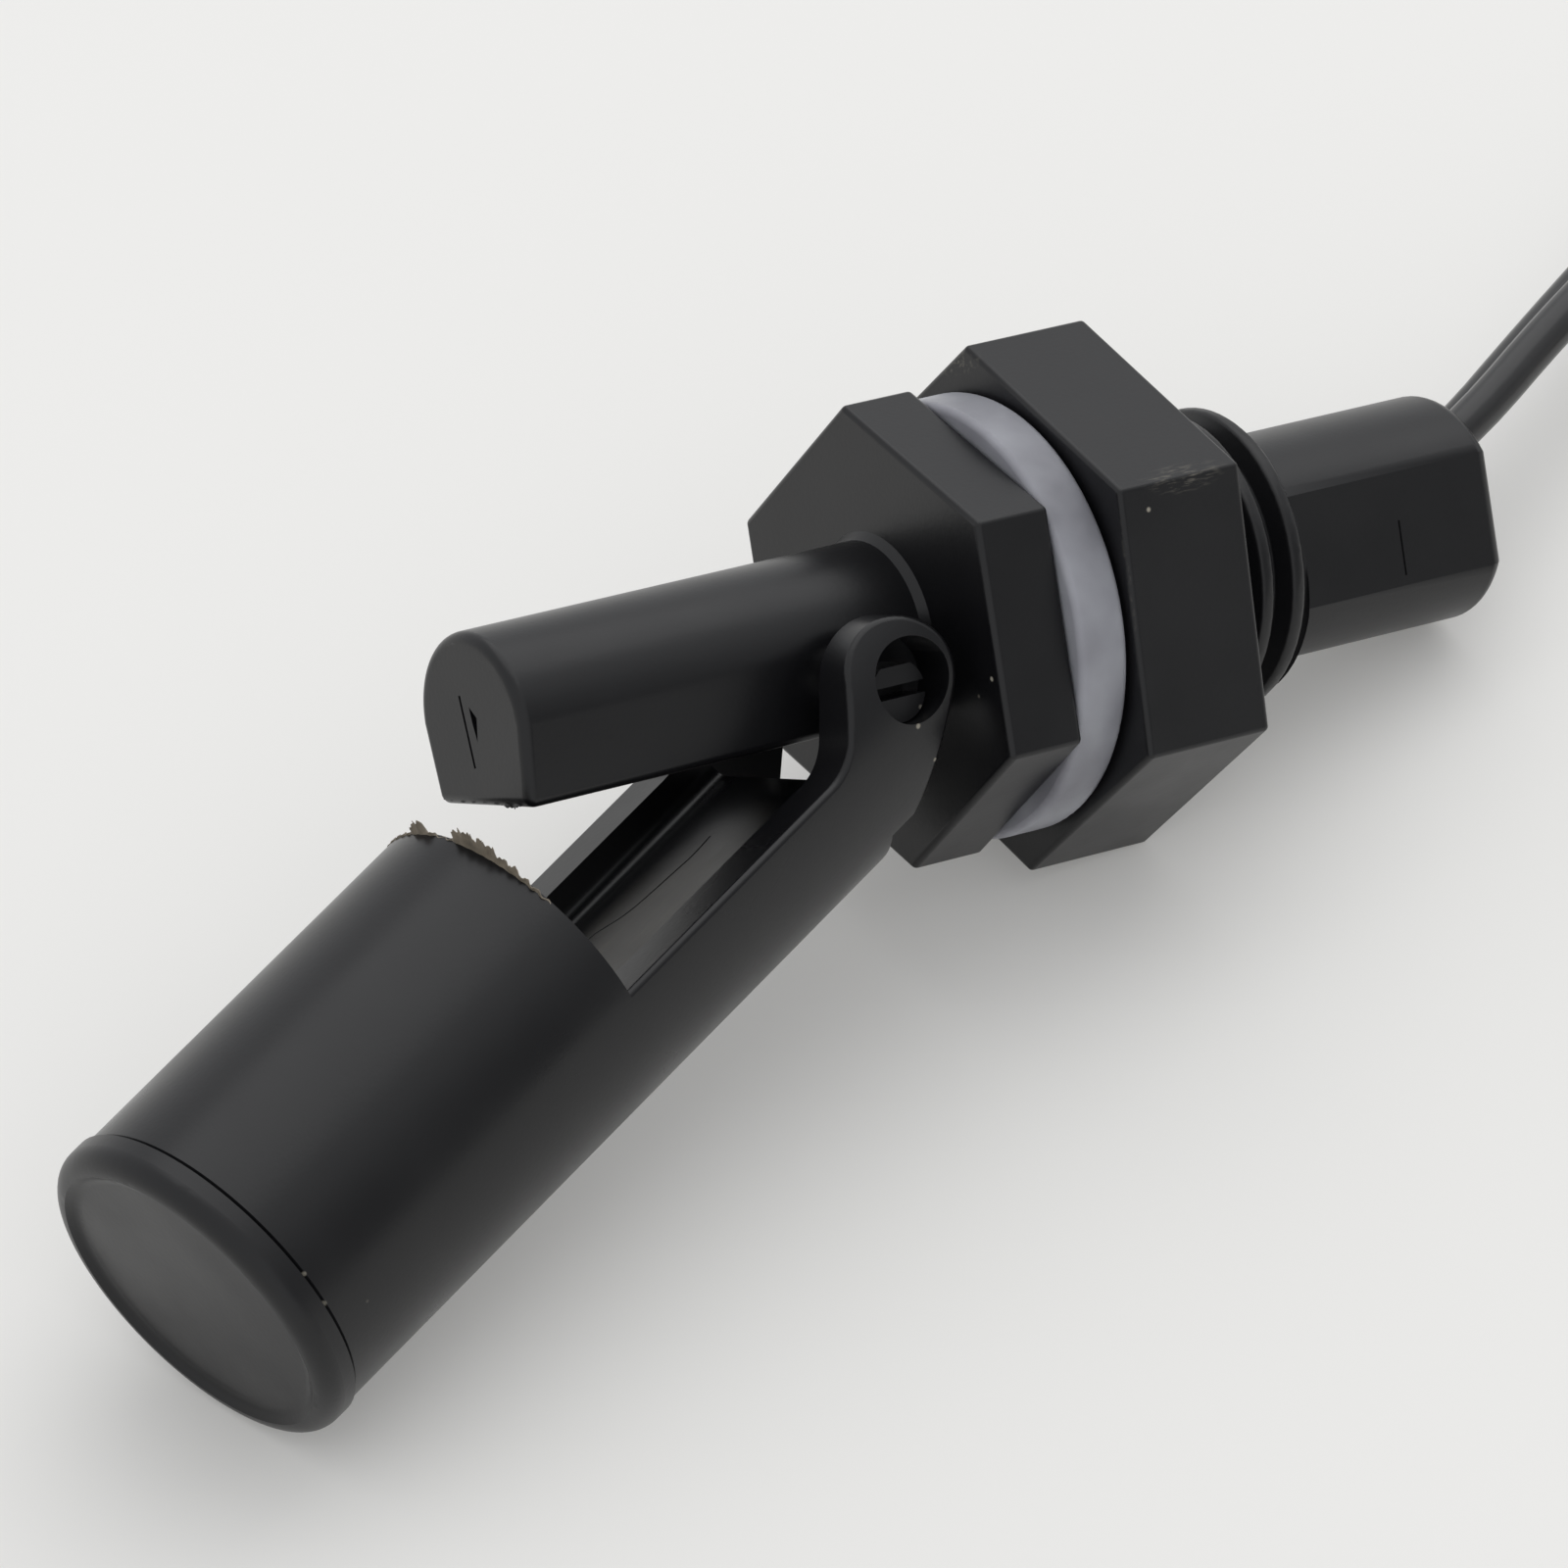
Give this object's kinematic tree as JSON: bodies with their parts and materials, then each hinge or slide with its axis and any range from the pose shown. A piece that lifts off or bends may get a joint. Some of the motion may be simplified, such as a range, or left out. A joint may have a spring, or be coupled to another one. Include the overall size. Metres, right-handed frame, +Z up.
{
  "type": "float level switch",
  "caption": "Side-mount float level switch: hollow plastic float hinged on a reed-switch stem, hexagon flange, threaded shank with gasket and lock nut, and loose leads.",
  "frame": {"origin": "centre of the flange's sealing face, on the thread axis", "axes": "as the switch lies on a table: +Z up, +X the level direction of the thread axis towards the leads, which dip 16 degrees below it, +Y across"},
  "size_m": [0.1544, 0.0483, 0.0274],
  "materials": {
    "black_plastic": "satin moulded polypropylene",
    "white_silicone": "translucent moulded silicone",
    "ferrite": "sintered ferrite",
    "reed_glass": "clear drawn glass",
    "nickel_iron": "plated nickel iron",
    "link_insulation": "smooth sleeving",
    "solder": "bright solder",
    "shrink_sleeve": "shrunk sleeve",
    "tinned_copper": "tinned strands",
    "lead_insulation": "soft extruded insulation",
    "resin": "cast epoxy"
  },
  "bodies": {
    "switch": {"body_moulding": "black_plastic", "gasket": "white_silicone", "lead_coil": "lead_insulation", "reed_capsule": "reed_glass", "reed_blade_front": "nickel_iron", "reed_blade_rear": "nickel_iron", "return_lead": "link_insulation", "solder_a": "solder", "solder_b": "solder", "sleeve_a": "shrink_sleeve", "sleeve_b": "shrink_sleeve", "core_a": "tinned_copper", "core_b": "tinned_copper", "potting": "resin", "lead_a": "lead_insulation", "lead_b": "lead_insulation", "lead_tail_a": "lead_insulation", "lead_tail_b": "lead_insulation", "lead_tip_a": "tinned_copper", "lead_tip_b": "tinned_copper"},
    "nut": {"lock_nut": "black_plastic"},
    "float": {"float_shell": "black_plastic", "float_cap": "black_plastic", "float_magnet": "ferrite"}
  },
  "joints": [
    {"name": "float_swing", "type": "hinge", "parent": "switch", "child": "float", "pos_m": [-0.00882, -0.00095, 0.001], "axis": [-0.1502, 0.8387, -0.5235], "range_deg": [-25, 29]},
    {"name": "nut_run", "type": "slide", "parent": "switch", "child": "nut", "axis": [0.9612, 0, -0.2757], "range_m": [0, 0.007]}
  ]
}
